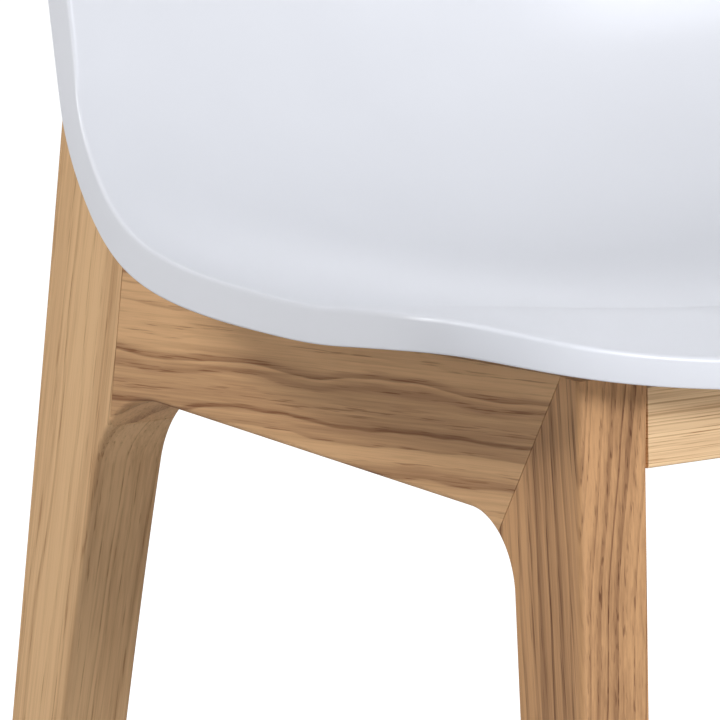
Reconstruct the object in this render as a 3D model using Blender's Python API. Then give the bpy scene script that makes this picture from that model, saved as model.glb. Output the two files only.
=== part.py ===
"""Dining chair: a one-piece moulded seat shell on a solid ash frame.

The sitter faces -Y. Left and right are those of a person looking at the chair's front, so left is -X.
Metres, +Z up. The origin is on the floor, under the middle of the chair.
"""

import math

import bmesh
import bpy
import numpy as np
from mathutils import Vector

GAP = 0.0003                  # clearance between two faces that touch
FRONT_Y = -0.20948            # the frame's front corner; every profile y below is measured back from it

# The two side frames are flat boards cut to shape, each of a front leg, a side rail and a rear leg
FRAME_WIDTH = 0.380           # outside to outside
BOARD = 0.0315
EDGE_ROUNDING = 0.0025
LEG_BOTTOM = 0.0048           # the legs stop here, above the glides
RAIL_TOP = 0.4265
FRAME_TOP = 0.439             # height of the front corner, where the seat's front edge rests higher
RAIL_LEVEL_FROM = 0.150       # the rail's top slopes down to here, then runs level

FRONT_LEG_FRONT = ((-0.0040, FRAME_TOP), (-0.0157, 0.0))
FRONT_LEG_BACK = ((0.0434, 0.3760), (0.0140, 0.0))
FRONT_FILLET = 0.031
MITRE_TOP = (0.0077, FRAME_TOP)
MITRE_SLOPE = 1.591           # drop per metre run back

REAR_CORNER = (0.3297, 0.3745)
REAR_LEG_FRONT = ((0.3387, 0.340), (0.3670, 0.230), (0.4085, 0.0))
REAR_LEG_BACK = ((0.3621, 0.490), (0.3788, 0.370), (0.4376, 0.0))
REAR_FILLET = 0.046
REAR_JOINT_TOP_Y = 0.3185     # where the side rail's end meets its top edge
REAR_JOINT_SLOPE = 0.148      # run back per metre of drop
STUB_SHOULDER = (0.3147, 0.4535)
STUB_TOP = (0.3445, 0.4860)

# Cross rails: y from and to, bottom and top
FRONT_RAIL_BACK = 0.0170
FRONT_RAIL_Z = (0.4013, 0.4330)
REAR_RAIL_Y = (0.338, 0.360)
REAR_RAIL_Z = (0.384, 0.422)

# Corner blocks, one in each corner of the frame
BLOCK_SIDE = 0.050
BLOCK_NOSE = 0.008            # the short face left at each of its two thin ends
BLOCK_THICK = 0.025
FRONT_BLOCK_TOP = 0.4275
REAR_BLOCK_TOP = 0.4220
SEAT_SCREW_IN = (0.018, 0.020)  # from the block's square corner, inwards and along the rail
REAR_SEAT_SCREW_IN = (0.018, 0.022)
BLOCK_SCREW_IN = 0.040

DOWEL_R = 0.004
DOWEL_HALF = 0.0145
WOOD_SCREW_R = 0.002
WOOD_SCREW_HEAD_R = 0.004
WOOD_SCREW_LENGTH = 0.026
SEAT_SCREW_R = 0.003
WASHER_R = 0.008
WASHER_THICK = 0.0015
PAD_R = 0.0105
PAD_THICK = 0.0022
BOSS_R = 0.011
INSERT_R = 0.0046
INSERT_LENGTH = 0.010
# Each rail's pair of dowels: how far back, and the two heights
FRONT_RAIL_DOWELS = (0.006, (0.411, 0.425))
REAR_RAIL_DOWELS = (0.349, (0.394, 0.412))
SIDE_RAIL_DOWEL_HEIGHTS = (0.386, 0.412)
WOOD_SCREW_HEAD_THICK = 0.0026
SEAT_SCREW_HEAD_R = 0.0060
SEAT_SCREW_HEAD_THICK = 0.0036
TENON_THICK = 0.006
TENON_HALF_DEPTH = 0.011
TENON_SPAN = (0.030, 0.066)   # along the mitre, from its top
GLIDE_R = 0.009
GLIDE_PIN_R = 0.0025
GLIDE_PIN_LENGTH = 0.014

# The seat shell follows this row of stations, from the front edge to the top of the back. Each gives
# y, height, half width, how far the sides stand above the middle, the steep part of that near the rim,
# the depth of the turned-down rim, and how soon the sides rise: 1 is late, 2 is early, with a level rim.
# A smooth curve is drawn through their neighbourhood.
SEAT_STATIONS = (
    (-0.0380, 0.4400, 0.2424, 0.0213, 0.0104, 0.0125, 1.04),
    (-0.0100, 0.4423, 0.2429, 0.0220, 0.0065, 0.0137, 1.06),
    (0.0260, 0.4428, 0.2436, 0.0219, 0.0013, 0.0145, 1.35),
    (0.0640, 0.4420, 0.2436, 0.0213, -0.0023, 0.0149, 1.49),
    (0.0980, 0.4278, 0.2428, 0.0281, 0.0004, 0.0154, 1.44),
    (0.1400, 0.4183, 0.2408, 0.0308, 0.0045, 0.0158, 1.33),
    (0.1950, 0.4160, 0.2390, 0.0284, 0.0074, 0.0164, 1.27),
    (0.2520, 0.4190, 0.2362, 0.0299, 0.0075, 0.0171, 1.30),
    (0.3080, 0.4334, 0.2226, 0.0379, 0.0069, 0.0172, 1.33),
    (0.3580, 0.4636, 0.2117, 0.0474, 0.0040, 0.0168, 1.34),
    (0.3840, 0.5165, 0.2074, 0.0545, 0.0013, 0.0161, 1.35),
    (0.4000, 0.5858, 0.2059, 0.0525, 0.0001, 0.0144, 1.35),
    (0.4160, 0.6650, 0.2035, 0.0420, 0.0000, 0.0130, 1.35),
    (0.4320, 0.7450, 0.1980, 0.0300, 0.0000, 0.0120, 1.35),
    (0.4450, 0.8260, 0.1900, 0.0220, 0.0000, 0.0120, 1.35),
)
SHELL_WALL = 0.0045
RIM_WALL = 0.0045
RIM_ROUNDING = 0.0025
RIM_LOWER_EDGE = 0.0006
RIM_HOLLOW = 0.0022           # the inner corner's rounding, below the wall
RIM_INSET = 0.008             # the rim's own rows of faces start this far inside its outer face
FRONT_CORNER = (0.1087, 3.38)  # length along the shell and squareness of each rounded corner
TOP_CORNER = (0.120, 2.4)
SHELL_CELLS = (14, 26)        # across and along
SHELL_MIDDLE = 0.45           # where the rings of cells shrink to, as a share of the shell's length
SEAT_FLAT_LENGTH = 0.40       # from the front edge to past the rear screws, along the shell

FINISHES = {
    "white_plastic": ((0.80, 0.80, 0.81), 0.28, 0.0),
    "ash": ((0.56, 0.36, 0.19), 0.50, 0.0),
    "beech": ((0.62, 0.42, 0.25), 0.60, 0.0),
    "steel": ((0.62, 0.62, 0.63), 0.32, 1.0),
    "brass": ((0.72, 0.55, 0.26), 0.35, 1.0),
    "rubber": ((0.03, 0.03, 0.03), 0.80, 0.0),
    "nylon": ((0.75, 0.74, 0.70), 0.55, 0.0),
}
SIDES = {"left": -1, "right": 1}
HALF_FRAME = FRAME_WIDTH / 2
INNER_X = HALF_FRAME - BOARD
BOARD_MIDDLE = HALF_FRAME - BOARD / 2


# ---------------------------------------------------------------- helpers


def clear_scene():
    for old in list(bpy.data.objects):
        bpy.data.objects.remove(old, do_unlink=True)


def finish_piece(piece, finish):
    color, roughness, metallic = FINISHES[finish]
    material = bpy.data.materials.new(f"{piece.name}_{finish}")
    material.use_nodes = True
    shader = material.node_tree.nodes["Principled BSDF"]
    shader.inputs["Base Color"].default_value = (*color, 1.0)
    shader.inputs["Roughness"].default_value = roughness
    shader.inputs["Metallic"].default_value = metallic
    piece.data.materials.append(material)


def piece_from(name, bm, origin, finish=None):
    """An object from a bmesh drawn in world coordinates, with its origin moved to the given point."""
    bmesh.ops.recalc_face_normals(bm, faces=bm.faces)
    bmesh.ops.translate(bm, verts=bm.verts, vec=-Vector(origin))
    mesh = bpy.data.meshes.new(name)
    bm.to_mesh(mesh)
    bm.free()
    mesh.shade_smooth()
    mesh.set_sharp_from_angle(angle=math.radians(35))
    piece = bpy.data.objects.new(name, mesh)
    piece.location = origin
    bpy.context.scene.collection.objects.link(piece)
    if finish:
        finish_piece(piece, finish)
    return piece


def turned(bm, start, way, profile, sides=12, ring=False):
    """Adds a turned solid along way from start. The profile is (distance, radius) pairs; ring closes it."""
    way = Vector(way).normalized()
    turn = way.to_track_quat("Z", "Y").to_matrix()
    rows = []
    for distance, radius in profile:
        row = []
        for k in range(sides):
            angle = 2 * math.pi * (k + 0.5) / sides
            offset = turn @ Vector((radius * math.cos(angle), radius * math.sin(angle), distance))
            row.append(bm.verts.new(Vector(start) + offset))
        rows.append(row)
    pairs = list(zip(rows, rows[1:]))
    if ring:
        pairs.append((rows[-1], rows[0]))
    else:
        bm.faces.new(rows[0])
        bm.faces.new(rows[-1])
    for low, high in pairs:
        for k in range(sides):
            after = (k + 1) % sides
            bm.faces.new((low[k], low[after], high[after], high[k]))


def modify_with(piece, cutter_bm, label, operation):
    """A Boolean on the piece, by a hidden helper that shares the piece's origin."""
    helper = piece_from(f"{piece.name}_{label}", cutter_bm, piece.location)
    helper.hide_render = True
    helper.display_type = "WIRE"
    boolean = piece.modifiers.new(label, "BOOLEAN")
    boolean.operation = operation
    boolean.solver = "EXACT"
    boolean.object = helper


def drill(piece, holes, sides=12):
    """Cuts turned holes, each (start, way, profile), from the piece."""
    bm = bmesh.new()
    for start, way, profile in holes:
        turned(bm, start, way, profile, sides)
    modify_with(piece, bm, "holes", "DIFFERENCE")


def straight(length, radius):
    return ((0.0, radius), (length, radius))


def on_line(line, height):
    """The profile point at this height on a line through two points."""
    (y0, z0), (y1, z1) = line
    return Vector((y0 + (y1 - y0) * (height - z0) / (z1 - z0), height))


def fillet(before, corner, after, radius):
    """The centre of the arc that rounds a corner, and its two tangent points."""
    corner = Vector(corner)
    first = (Vector(before) - corner).normalized()
    second = (Vector(after) - corner).normalized()
    half = first.angle(second) / 2
    reach = radius / math.tan(half)
    centre = corner + (first + second).normalized() * radius / math.sin(half)
    return centre, corner + first * reach, corner + second * reach


def arc(centre, start, end, steps):
    """Points from start to end round the centre, the short way, both ends included."""
    a = math.atan2(start.y - centre.y, start.x - centre.x)
    b = math.atan2(end.y - centre.y, end.x - centre.x)
    sweep = (b - a + math.pi) % (2 * math.pi) - math.pi
    radius = (start - centre).length
    return [
        centre + radius * Vector((math.cos(a + sweep * k / steps), math.sin(a + sweep * k / steps)))
        for k in range(steps + 1)
    ]


def line_meets_circle(point, way, centre, radius):
    """The first point of a circle that a line reaches."""
    way = Vector(way).normalized()
    to_centre = Vector(centre) - Vector(point)
    along = to_centre.dot(way)
    across = to_centre.length_squared - along * along
    return Vector(point) + way * (along - math.sqrt(radius * radius - across))


def bow(start, control, end, steps):
    """A gentle curve from start to end that leans towards the control point."""
    points = []
    for k in range(steps + 1):
        t = k / steps
        points.append(
            Vector(start) * (1 - t) ** 2 + Vector(control) * 2 * t * (1 - t) + Vector(end) * t * t
        )
    return points


def board(name, outline, x_from, x_to, origin, rounding=EDGE_ROUNDING):
    """A flat board cut to an outline. Each entry is a point and whether the run after it has soft edges."""
    bm = bmesh.new()
    faces = []
    for x in (x_from, x_to):
        faces.append([bm.verts.new((x, FRONT_Y + point.x, point.y)) for point, _ in outline])
    near, far = faces
    soft_edges = []
    for k, (_, soft) in enumerate(outline):
        after = (k + 1) % len(outline)
        bm.faces.new((near[k], near[after], far[after], far[k]))
        if soft:
            soft_edges.append(bm.edges.get((near[k], near[after])))
            soft_edges.append(bm.edges.get((far[k], far[after])))
    bm.faces.new(near)
    bm.faces.new(far)
    bmesh.ops.recalc_face_normals(bm, faces=bm.faces)
    bmesh.ops.bevel(bm, geom=soft_edges, offset=rounding, segments=2, profile=0.5, affect="EDGES")
    return piece_from(name, bm, origin, "ash")


def soft(points):
    return [(Vector(point), True) for point in points]


def hard(points):
    return [(Vector(point), False) for point in points]


# ---------------------------------------------------------------- side frames


def board_x(side):
    """The inner and outer faces of a side frame."""
    sign = SIDES[side]
    return sign * INNER_X, sign * HALF_FRAME


def joint_geometry():
    """The two rounded inner corners, and where the two joints cross them."""
    front = fillet(REAR_CORNER, FRONT_LEG_BACK[0], FRONT_LEG_BACK[1], FRONT_FILLET)
    rear = fillet(FRONT_LEG_BACK[0], REAR_CORNER, REAR_LEG_FRONT[0], REAR_FILLET)
    mitre_foot = line_meets_circle(MITRE_TOP, (1, -MITRE_SLOPE), front[0], FRONT_FILLET)
    rear_top = Vector((REAR_JOINT_TOP_Y, RAIL_TOP))
    rear_foot = line_meets_circle(rear_top, (REAR_JOINT_SLOPE, -1), rear[0], REAR_FILLET)
    return front, rear, mitre_foot, rear_top, rear_foot


def make_front_leg(side):
    front, _, mitre_foot, _, _ = joint_geometry()
    centre, _, leg_tangent = front
    rounded = arc(centre, mitre_foot, leg_tangent, 4)
    foot_back = on_line(FRONT_LEG_BACK, LEG_BOTTOM)
    foot_front = on_line(FRONT_LEG_FRONT, LEG_BOTTOM)
    outline = hard([FRONT_LEG_FRONT[0], MITRE_TOP]) + soft(rounded) + hard([foot_back]) + soft([foot_front])
    middle = (foot_back.x + foot_front.x) / 2
    origin = (SIDES[side] * BOARD_MIDDLE, FRONT_Y + middle, LEG_BOTTOM)
    return board(f"front_leg_{side}", outline, *board_x(side), origin)


def make_side_rail(side):
    front, rear, mitre_foot, rear_top, rear_foot = joint_geometry()
    clear_of_mitre = Vector((MITRE_SLOPE, 1)).normalized() * GAP
    clear_of_leg = Vector((-GAP, 0))
    front_arc = arc(front[0], mitre_foot + clear_of_mitre, front[1], 4)
    rear_arc = arc(rear[0], rear[1], rear_foot + clear_of_leg, 5)
    mitre_top = Vector(MITRE_TOP) + Vector((GAP * 1.2, 0))
    outline = soft(front_arc + rear_arc[:-1])
    outline += hard([rear_arc[-1], rear_top + clear_of_leg, (RAIL_LEVEL_FROM, RAIL_TOP), mitre_top])
    origin = (SIDES[side] * BOARD_MIDDLE, FRONT_Y + RAIL_LEVEL_FROM, RAIL_TOP)
    return board(f"side_rail_{side}", outline, *board_x(side), origin)


def make_rear_leg(side):
    _, rear, _, _, rear_foot = joint_geometry()
    leg_front = bow(rear[2], REAR_LEG_FRONT[1], REAR_LEG_FRONT[2], 6)
    leg_front[-1] = on_line(leg_front[-2:], LEG_BOTTOM)
    leg_back = bow(*REAR_LEG_BACK, 6)
    leg_back[-1] = on_line(leg_back[-2:], LEG_BOTTOM)
    rounded = arc(rear[0], rear_foot, rear[2], 5)
    outline = hard([STUB_SHOULDER]) + soft(rounded[:-1] + leg_front[:-1]) + hard([leg_front[-1]])
    outline += soft(leg_back[::-1][:-1]) + soft([REAR_LEG_BACK[0], STUB_TOP])
    middle = (leg_front[-1].x + leg_back[-1].x) / 2
    origin = (SIDES[side] * BOARD_MIDDLE, FRONT_Y + middle, LEG_BOTTOM)
    return board(f"rear_leg_{side}", outline, *board_x(side), origin)


# ---------------------------------------------------------------- cross rails and corner blocks


def make_front_rail():
    low, high = FRONT_RAIL_Z
    outline = hard([(FRONT_RAIL_BACK, low)]) + soft([on_line(FRONT_LEG_FRONT, low)])
    outline += hard([on_line(FRONT_LEG_FRONT, high), (FRONT_RAIL_BACK, high)])
    reach = INNER_X - GAP
    return board("front_rail", outline, -reach, reach, (0, FRONT_Y, low), 0.002)


def make_rear_rail():
    low, high = REAR_RAIL_Z
    front, back = REAR_RAIL_Y
    outline = hard([(front, low), (back, low), (back, high), (front, high)])
    reach = INNER_X - GAP
    return board("rear_rail", outline, -reach, reach, (0, FRONT_Y + front, low))


def block_frame(end, side):
    """A corner block's square corner, the ways in from it, its top, and its seat screw's place."""
    sign = SIDES[side]
    if end == "front":
        corner = (FRONT_Y + FRONT_RAIL_BACK + GAP, 1, FRONT_BLOCK_TOP, SEAT_SCREW_IN)
    else:
        corner = (FRONT_Y + REAR_RAIL_Y[0] - GAP, -1, REAR_BLOCK_TOP, REAR_SEAT_SCREW_IN)
    y, y_way, top, screw_in = corner
    return Vector((sign * (INNER_X - GAP), y)), Vector((-sign, 0)), Vector((0, y_way)), top, screw_in


def seat_screw_axis(end, side):
    corner, inwards, along, top, screw_in = block_frame(end, side)
    point = corner + inwards * screw_in[0] + along * screw_in[1]
    return point.x, point.y, top


def block_screws(end, side):
    """The two wood screws of a block, as the place under each head and its way into the rail."""
    corner, inwards, along, top, _ = block_frame(end, side)
    middle = top - BLOCK_THICK / 2
    depth = BLOCK_SIDE + BLOCK_NOSE - BLOCK_SCREW_IN - 0.006
    rail = corner + inwards * BLOCK_SCREW_IN + along * depth
    board_side = corner + along * BLOCK_SCREW_IN + inwards * depth
    return {
        "a": (Vector((rail.x, rail.y, middle)), Vector((-along.x, -along.y, 0))),
        "b": (Vector((board_side.x, board_side.y, middle)), Vector((-inwards.x, -inwards.y, 0))),
    }


def make_corner_block(end, side):
    corner, inwards, along, top, _ = block_frame(end, side)
    bottom = top - BLOCK_THICK
    plan = (
        (0, 0),
        (BLOCK_SIDE, 0),
        (BLOCK_SIDE, BLOCK_NOSE),
        (BLOCK_NOSE, BLOCK_SIDE),
        (0, BLOCK_SIDE),
    )
    bm = bmesh.new()
    rows = []
    for z in (bottom, top):
        points = [corner + inwards * u + along * v for u, v in plan]
        rows.append([bm.verts.new((point.x, point.y, z)) for point in points])
    for row in rows:
        bm.faces.new(row)
    for k in range(len(plan)):
        after = (k + 1) % len(plan)
        bm.faces.new((rows[0][k], rows[0][after], rows[1][after], rows[1][k]))
    block = piece_from(f"corner_block_{end}_{side}", bm, (corner.x, corner.y, bottom), "beech")
    x, y, _ = seat_screw_axis(end, side)
    holes = [((x, y, bottom - 0.001), (0, 0, 1), straight(BLOCK_THICK + 0.002, SEAT_SCREW_R + 0.0005))]
    for head, way in block_screws(end, side).values():
        narrow, wide = WOOD_SCREW_R + GAP, WOOD_SCREW_HEAD_R + 2 * GAP
        profile = ((-0.020, wide), (GAP, wide), (GAP, narrow), (0.020, narrow))
        holes.append((head, way, profile))
    drill(block, holes)
    return block


# ---------------------------------------------------------------- joinery and hardware


def make_turned(name, start, way, profile, finish, sides=12, ring=False):
    bm = bmesh.new()
    turned(bm, start, way, profile, sides, ring)
    return piece_from(name, bm, start, finish)


def dowel_places():
    """Every dowel, as name: (middle, way, the two pieces it joins)."""
    places = {}
    for side, sign in SIDES.items():
        for rail, (y, heights) in (("front", FRONT_RAIL_DOWELS), ("rear", REAR_RAIL_DOWELS)):
            for mark, z in zip("ab", heights):
                middle = Vector((sign * INNER_X, FRONT_Y + y, z))
                places[f"{rail}_rail_dowel_{side}_{mark}"] = (
                    middle,
                    Vector((sign, 0, 0)),
                    (f"{rail}_rail", f"{rail}_leg_{side}"),
                )
        for mark, z in zip("ab", SIDE_RAIL_DOWEL_HEIGHTS):
            y = REAR_JOINT_TOP_Y + (RAIL_TOP - z) * REAR_JOINT_SLOPE
            places[f"side_rail_dowel_{side}_{mark}"] = (
                Vector((sign * BOARD_MIDDLE, FRONT_Y + y, z)),
                Vector((0, 1, REAR_JOINT_SLOPE)).normalized(),
                (f"side_rail_{side}", f"rear_leg_{side}"),
            )
    return places


def make_dowel(name, middle, way):
    chamfer = 0.001
    length = 2 * DOWEL_HALF
    profile = (
        (0, DOWEL_R - chamfer),
        (chamfer, DOWEL_R),
        (length - chamfer, DOWEL_R),
        (length, DOWEL_R - chamfer),
    )
    return make_turned(name, middle - way * DOWEL_HALF, way, profile, "beech")


def tenon_middle(side):
    middle = Vector(MITRE_TOP) + Vector((1, -MITRE_SLOPE)).normalized() * sum(TENON_SPAN) / 2
    return Vector((SIDES[side] * BOARD_MIDDLE, FRONT_Y + middle.x, middle.y))


def tenon_solid(side, grow):
    """The loose tongue inside a mitre: a flat pill lying across the joint line, or the slot for it."""
    sign = SIDES[side]
    down = Vector((1, -MITRE_SLOPE)).normalized()
    across = Vector((MITRE_SLOPE, 1)).normalized()
    start, end = TENON_SPAN
    top = Vector(MITRE_TOP)
    plan = []
    for along, out in ((start, -1), (end, -1), (end, 1), (start, 1)):
        nudge = -1 if along == start else 1
        point = top + down * (along + nudge * grow) + across * out * (TENON_HALF_DEPTH + grow)
        plan.append(point)
    bm = bmesh.new()
    rows = []
    for x in (-TENON_THICK / 2 - grow, TENON_THICK / 2 + grow):
        rows.append([bm.verts.new((sign * BOARD_MIDDLE + x, FRONT_Y + p.x, p.y)) for p in plan])
    bm.faces.new(rows[0])
    bm.faces.new(rows[1])
    for k in range(4):
        after = (k + 1) % 4
        bm.faces.new((rows[0][k], rows[0][after], rows[1][after], rows[1][k]))
    bmesh.ops.recalc_face_normals(bm, faces=bm.faces)
    return bm


def make_wood_screw(name, head, way):
    thick = WOOD_SCREW_HEAD_THICK
    profile = (
        (-thick, WOOD_SCREW_HEAD_R * 0.7),
        (-thick * 0.6, WOOD_SCREW_HEAD_R),
        (0, WOOD_SCREW_HEAD_R),
        (0, WOOD_SCREW_R),
        (WOOD_SCREW_LENGTH - 0.005, WOOD_SCREW_R),
        (WOOD_SCREW_LENGTH, 0.0005),
    )
    return make_turned(name, head, way, profile, "steel")


def make_seat_fixing(end, side):
    """Washer, screw, pad and threaded insert on one vertical axis, from below the block up into the boss."""
    x, y, top = seat_screw_axis(end, side)
    bottom = top - BLOCK_THICK
    up = (0, 0, 1)
    clear = SEAT_SCREW_R + 0.0004
    label = f"{end}_{side}"
    washer_bottom = bottom - GAP - WASHER_THICK
    washer = (
        (0, clear),
        (0, WASHER_R),
        (WASHER_THICK, WASHER_R),
        (WASHER_THICK, clear),
    )
    make_turned(f"seat_washer_{label}", Vector((x, y, washer_bottom)), up, washer, "steel", ring=True)
    under_head = washer_bottom - GAP
    head_r, head_thick = SEAT_SCREW_HEAD_R, SEAT_SCREW_HEAD_THICK
    length = top - under_head + PAD_THICK + INSERT_LENGTH
    screw = (
        (-head_thick, head_r * 0.75),
        (-head_thick * 0.55, head_r),
        (0, head_r),
        (0, SEAT_SCREW_R),
        (length - 0.001, SEAT_SCREW_R),
        (length, SEAT_SCREW_R - 0.001),
    )
    make_turned(f"seat_screw_{label}", Vector((x, y, under_head)), up, screw, "steel")
    pad = ((0, clear), (0, PAD_R), (PAD_THICK, PAD_R), (PAD_THICK, clear))
    make_turned(f"seat_pad_{label}", Vector((x, y, top + GAP)), up, pad, "rubber", ring=True)
    insert = ((0, clear), (0, INSERT_R), (INSERT_LENGTH, INSERT_R), (INSERT_LENGTH, clear))
    make_turned(
        f"threaded_insert_{label}",
        Vector((x, y, boss_bottom(end, side) + GAP)),
        up,
        insert,
        "brass",
        ring=True,
    )


def boss_bottom(end, side):
    return seat_screw_axis(end, side)[2] + PAD_THICK + 2 * GAP


def foot_centre(end, side):
    """Where a leg's foot meets the floor."""
    if end == "front":
        edges = (on_line(FRONT_LEG_FRONT, 0).x, on_line(FRONT_LEG_BACK, 0).x)
    else:
        edges = (REAR_LEG_FRONT[-1][0], REAR_LEG_BACK[-1][0])
    return Vector((SIDES[side] * BOARD_MIDDLE, FRONT_Y + sum(edges) / 2, 0))


def make_glide(end, side):
    disc = LEG_BOTTOM - GAP
    profile = (
        (0, GLIDE_R - 0.001),
        (0.001, GLIDE_R),
        (disc, GLIDE_R),
        (disc, GLIDE_PIN_R),
        (disc + GLIDE_PIN_LENGTH, GLIDE_PIN_R * 0.6),
    )
    make_turned(f"glide_{end}_{side}", foot_centre(end, side), (0, 0, 1), profile, "nylon", sides=16)


# ---------------------------------------------------------------- seat shell


def smooth_curve(rows, count):
    """Samples of a clamped uniform cubic B-spline whose control rows are given."""
    rows = np.array(rows)
    rows = np.vstack([rows[:1], rows[:1], rows, rows[-1:], rows[-1:]])
    spans = len(rows) - 3
    place = np.linspace(0, spans, count)
    span = np.minimum(place.astype(int), spans - 1)
    t = (place - span)[:, None]
    weights = (
        (1 - t) ** 3 / 6,
        (3 * t**3 - 6 * t**2 + 4) / 6,
        (-3 * t**3 + 3 * t**2 + 3 * t + 1) / 6,
        t**3 / 6,
    )
    return sum(weight * rows[span + k] for k, weight in enumerate(weights))


SAMPLES = smooth_curve(SEAT_STATIONS, 3000)
STEPS = np.hypot(np.diff(SAMPLES[:, 0]), np.diff(SAMPLES[:, 1]))
ALONG = np.concatenate([[0.0], np.cumsum(STEPS)])
SHELL_LENGTH = ALONG[-1]
SLOPES = np.unwrap(np.arctan2(np.gradient(SAMPLES[:, 1], ALONG), np.gradient(SAMPLES[:, 0], ALONG)))


def station(along):
    """The station's values and slope at a distance along the shell's middle line."""
    values = [np.interp(along, ALONG, SAMPLES[:, k]) for k in range(SAMPLES.shape[1])]
    return values, np.interp(along, ALONG, SLOPES)


def seat_point(x, along):
    """A point of the seat's upper surface."""
    (y, z, half, sides, lip, _, early), slope = station(along)
    t = abs(x) / half
    lift = sides * (early * t**2 + (1 - early) * t**4) + lip * t**10
    return Vector((x, FRONT_Y + y - math.sin(slope) * lift, z + math.cos(slope) * lift))


def seat_normal(x, along):
    step = 0.0005
    across = seat_point(x + step, along) - seat_point(x - step, along)
    onwards = seat_point(x, along + step) - seat_point(x, along - step)
    return across.cross(onwards).normalized()


def half_outline():
    """The right half of the shell's outline as (x, distance along), from front middle to top middle."""
    front_length, front_power = FRONT_CORNER
    top_length, top_power = TOP_CORNER
    turn = np.linspace(math.pi / 2, 0, 500)
    front = front_length * (1 - np.sin(turn) ** (2 / front_power))
    middle = np.linspace(front_length, SHELL_LENGTH - top_length, 500)
    top = SHELL_LENGTH - top_length + top_length * np.sin(turn[::-1]) ** (2 / top_power)
    along = np.concatenate([front, middle, top])
    share = np.concatenate(
        [
            np.clip(np.cos(turn), 0, 1) ** (2 / front_power),
            np.ones(500),
            np.clip(np.cos(turn[::-1]), 0, 1) ** (2 / top_power),
        ]
    )
    half = np.interp(along, ALONG, SAMPLES[:, 2]) * share
    return half, along


OUTLINE_X, OUTLINE_ALONG = half_outline()
OUTLINE_RUN = np.concatenate(
    [[0.0], np.cumsum(np.hypot(np.diff(OUTLINE_X), np.diff(OUTLINE_ALONG)))]
)


def outline_point(share, inset):
    """A point this share of the way round the right half of the outline, moved in by inset."""
    run = share * OUTLINE_RUN[-1]
    step = 0.002
    ends = [(min(max(run + s, 0), OUTLINE_RUN[-1])) for s in (-step, step)]
    x0, x1 = np.interp(ends, OUTLINE_RUN, OUTLINE_X)
    b0, b1 = np.interp(ends, OUTLINE_RUN, OUTLINE_ALONG)
    way = Vector((x1 - x0, b1 - b0)).normalized()
    if share <= 0 or share >= 1:
        way = Vector((1 if share <= 0 else -1, 0))
    point = Vector((np.interp(run, OUTLINE_RUN, OUTLINE_X), np.interp(run, OUTLINE_RUN, OUTLINE_ALONG)))
    return point + Vector((-way.y, way.x)) * inset


def around(i, j):
    """How far the cell corner's ring point is round the outline, as a share, with its side and its ring."""
    cells_x, cells_y = SHELL_CELLS
    u = 2 * i / cells_x - 1
    v = 2 * j / cells_y - 1
    ring = max(abs(u), abs(v))
    if ring == 0:
        return 0, 1, 0
    side_u, side_v = abs(u) / ring, v / ring
    if side_v <= -1 + 1e-9:
        run = side_u * cells_x / 2
    elif side_u >= 1 - 1e-9:
        run = cells_x / 2 + (side_v + 1) / 2 * cells_y
    else:
        run = cells_x / 2 + cells_y + (1 - side_u) * cells_x / 2
    return run / (cells_x + cells_y), (1 if u >= 0 else -1), ring


def shell_place(i, j, inset):
    """Where a cell corner lies on the unrolled shell, as (x, distance along)."""
    share, sign, ring = around(i, j)
    middle = Vector((0, SHELL_LENGTH * SHELL_MIDDLE))
    edge = outline_point(share, inset)
    place = middle + (edge - middle) * ring
    return place.x * sign, place.y


def rim_cells():
    """The cell corners on the shell's edge, in order round it."""
    cells_x, cells_y = SHELL_CELLS
    front = [(i, 0) for i in range(cells_x)]
    right = [(cells_x, j) for j in range(cells_y)]
    top = [(i, cells_y) for i in range(cells_x, 0, -1)]
    left = [(0, j) for j in range(cells_y, 0, -1)]
    return front + right + top + left


def make_shell_sheet(bm, depth):
    """One surface of the shell, this deep below its upper face, as rows of vertices."""
    cells_x, cells_y = SHELL_CELLS
    rows = []
    for j in range(cells_y + 1):
        row = []
        for i in range(cells_x + 1):
            x, along = shell_place(i, j, RIM_INSET)
            point = seat_point(x, along)
            if depth:
                point = point - seat_normal(x, along) * depth
            row.append(bm.verts.new(point))
        rows.append(row)
    for j in range(cells_y):
        for i in range(cells_x):
            bm.faces.new((rows[j][i], rows[j][i + 1], rows[j + 1][i + 1], rows[j + 1][i]))
    return rows


def rim_profile(depth):
    """The rim's section, as (distance in from its outer face, distance below its top)."""
    return (
        (RIM_ROUNDING, 0),
        (RIM_ROUNDING * 0.29, RIM_ROUNDING * 0.29),
        (0, RIM_ROUNDING),
        (0, depth - RIM_LOWER_EDGE),
        (RIM_LOWER_EDGE, depth),
        (RIM_WALL, depth),
        (RIM_WALL + RIM_LOWER_EDGE, SHELL_WALL + RIM_HOLLOW),
    )


RIM_ROWS = len(rim_profile(0))


def make_seat_shell():
    bm = bmesh.new()
    top = make_shell_sheet(bm, 0)
    under = make_shell_sheet(bm, SHELL_WALL)
    loops = [[top[j][i] for i, j in rim_cells()]]
    for k in range(RIM_ROWS):
        loop = []
        for i, j in rim_cells():
            share, sign, _ = around(i, j)
            depth = station(outline_point(share, 0).y)[0][5]
            inset, drop = rim_profile(depth)[k]
            place = outline_point(share, inset)
            slope = station(place.y)[1]
            down = Vector((0, math.sin(slope), -math.cos(slope)))
            loop.append(bm.verts.new(seat_point(place.x * sign, place.y) + down * drop))
        loops.append(loop)
    loops.append([under[j][i] for i, j in rim_cells()])
    for outer, inner in zip(loops, loops[1:]):
        for k in range(len(outer)):
            after = (k + 1) % len(outer)
            bm.faces.new((outer[k], outer[after], inner[after], inner[k]))
    shell = piece_from("seat_shell", bm, (0, FRONT_Y, FRAME_TOP), "white_plastic")
    add_bosses(shell)
    return shell


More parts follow.
